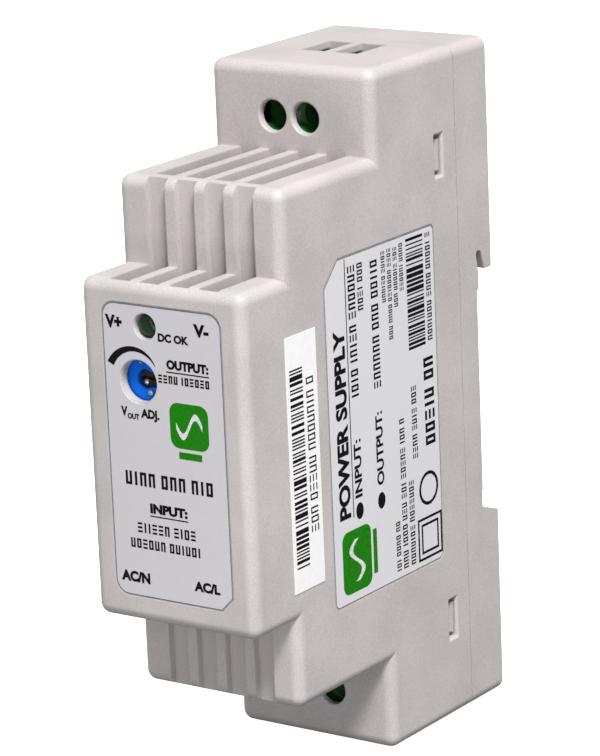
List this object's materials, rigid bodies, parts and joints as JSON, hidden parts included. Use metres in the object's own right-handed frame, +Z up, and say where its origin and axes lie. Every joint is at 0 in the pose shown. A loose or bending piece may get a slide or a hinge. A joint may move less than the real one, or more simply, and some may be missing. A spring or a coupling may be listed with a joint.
{
  "type": "din rail power supply",
  "caption": "Narrow stepped DIN-rail power supply in grey plastic with screw terminals, vents, indicator, voltage trimmer and sprung rail foot.",
  "frame": {"origin": "on the DIN-rail seat, at the rail's centre line and the housing's mid width", "axes": "+X to the right seen from the front, +Y back into the rail and the wall, +Z up"},
  "size_m": [0.0251, 0.0575, 0.091],
  "materials": {
    "housing_plastic": "fine spark-eroded texture, light warm grey",
    "foot_plastic": "satin black moulded nylon",
    "spring_steel": "drawn wire",
    "label_film": "silver-grey printed polyester film",
    "paper_sticker": "white thermal label",
    "board_laminate": "solder mask over glass laminate",
    "terminal_green": "green moulded nylon",
    "led_green": "dark green translucent epoxy",
    "trimmer_blue": "blue moulded plastic",
    "nickel_metal": "nickel plated",
    "tinned_brass": "tin plated brass",
    "screw_steel": "zinc plated",
    "component_black": "moulded epoxy",
    "thermistor_coat": "dipped coating",
    "varistor_coat": "dipped epoxy coating",
    "film_capacitor_box": "box of moulded plastic",
    "ferrite": "sintered ferrite",
    "copper_wire": "enamelled copper wire",
    "capacitor_sleeve": "shrink sleeve on an aluminium can",
    "aluminium_sheet": "bent sheet",
    "bobbin_plastic": "phenolic",
    "winding_tape": "polyester tape"
  },
  "bodies": {
    "root": {"barcode_sticker": "paper_sticker", "bridge_rectifier": "component_black", "bulk_capacitor": "capacitor_sleeve", "choke_core": "ferrite", "choke_winding_1": "copper_wire", "choke_winding_2": "copper_wire", "control_ic": "component_black", "foot_spring": "spring_steel", "front_board": "board_laminate", "front_cover": "housing_plastic", "front_label": "label_film", "fuse": "component_black", "heat_sink": "aluminium_sheet", "input_contact_1": "tinned_brass", "input_contact_2": "tinned_brass", "input_terminal_housing": "terminal_green", "inrush_thermistor": "thermistor_coat", "main_board": "board_laminate", "optocoupler": "component_black", "output_capacitor_1": "capacitor_sleeve", "output_capacitor_2": "capacitor_sleeve", "output_contact_1": "tinned_brass", "output_contact_2": "tinned_brass", "output_diode": "component_black", "output_inductor": "ferrite", "output_terminal_housing": "terminal_green", "rear_base": "housing_plastic", "riser_board": "board_laminate", "side_label": "label_film", "status_led": "led_green", "switching_transistor": "component_black", "transformer_bobbin": "bobbin_plastic", "transformer_core": "ferrite", "transformer_winding": "winding_tape", "trimmer_body": "trimmer_blue", "varistor": "varistor_coat", "x_capacitor": "film_capacitor_box", "y_capacitor": "varistor_coat"},
    "din_foot": {"din_foot": "foot_plastic"},
    "trimmer_rotor": {"trimmer_rotor": "nickel_metal"},
    "output_screw_1": {"output_screw_1": "screw_steel"},
    "output_screw_2": {"output_screw_2": "screw_steel"},
    "output_clamp_1": {"output_clamp_1": "nickel_metal"},
    "output_clamp_2": {"output_clamp_2": "nickel_metal"},
    "input_screw_1": {"input_screw_1": "screw_steel"},
    "input_screw_2": {"input_screw_2": "screw_steel"},
    "input_clamp_1": {"input_clamp_1": "nickel_metal"},
    "input_clamp_2": {"input_clamp_2": "nickel_metal"}
  },
  "joints": [
    {"name": "foot_release", "type": "slide", "parent": "root", "child": "din_foot", "axis": [0, 0, -1], "range_m": [0, 0.0035], "stiffness_N_per_m": 900, "springref_m": -0.001, "deforming": ["foot_spring"]},
    {"name": "voltage_adjust", "type": "hinge", "parent": "root", "child": "trimmer_rotor", "pos_m": [-0.0039, -0.05, 0.0109], "axis": [0, 1, 0], "range_deg": [-130, 130]},
    {"name": "output_clamp_1_rise", "type": "slide", "parent": "root", "child": "output_clamp_1", "axis": [0, -1, 0], "range_m": [0, 0.0015]},
    {"name": "output_screw_1_turn", "type": "hinge", "parent": "root", "child": "output_screw_1", "pos_m": [-0.00279, -0.0167, 0.0392], "axis": [0, 1, 0], "range_deg": [0, 1080.5]},
    {"name": "output_clamp_2_rise", "type": "slide", "parent": "root", "child": "output_clamp_2", "axis": [0, -1, 0], "range_m": [0, 0.0015]},
    {"name": "output_screw_2_turn", "type": "hinge", "parent": "root", "child": "output_screw_2", "pos_m": [0.00229, -0.0167, 0.0392], "axis": [0, 1, 0], "range_deg": [0, 1080.5]},
    {"name": "input_clamp_1_rise", "type": "slide", "parent": "root", "child": "input_clamp_1", "axis": [0, -1, 0], "range_m": [0, 0.0015]},
    {"name": "input_screw_1_turn", "type": "hinge", "parent": "root", "child": "input_screw_1", "pos_m": [0.00279, -0.0167, -0.038], "axis": [0, 1, 0], "range_deg": [0, 1080.5]},
    {"name": "input_clamp_2_rise", "type": "slide", "parent": "root", "child": "input_clamp_2", "axis": [0, -1, 0], "range_m": [0, 0.0015]},
    {"name": "input_screw_2_turn", "type": "hinge", "parent": "root", "child": "input_screw_2", "pos_m": [-0.00229, -0.0167, -0.038], "axis": [0, 1, 0], "range_deg": [0, 1080.5]}
  ],
  "couplings": [
    {"joint": "output_screw_1_turn", "follows": "output_clamp_1_rise", "rad_per_m": 12566},
    {"joint": "output_screw_2_turn", "follows": "output_clamp_2_rise", "rad_per_m": 12566},
    {"joint": "input_screw_1_turn", "follows": "input_clamp_1_rise", "rad_per_m": 12566},
    {"joint": "input_screw_2_turn", "follows": "input_clamp_2_rise", "rad_per_m": 12566}
  ]
}
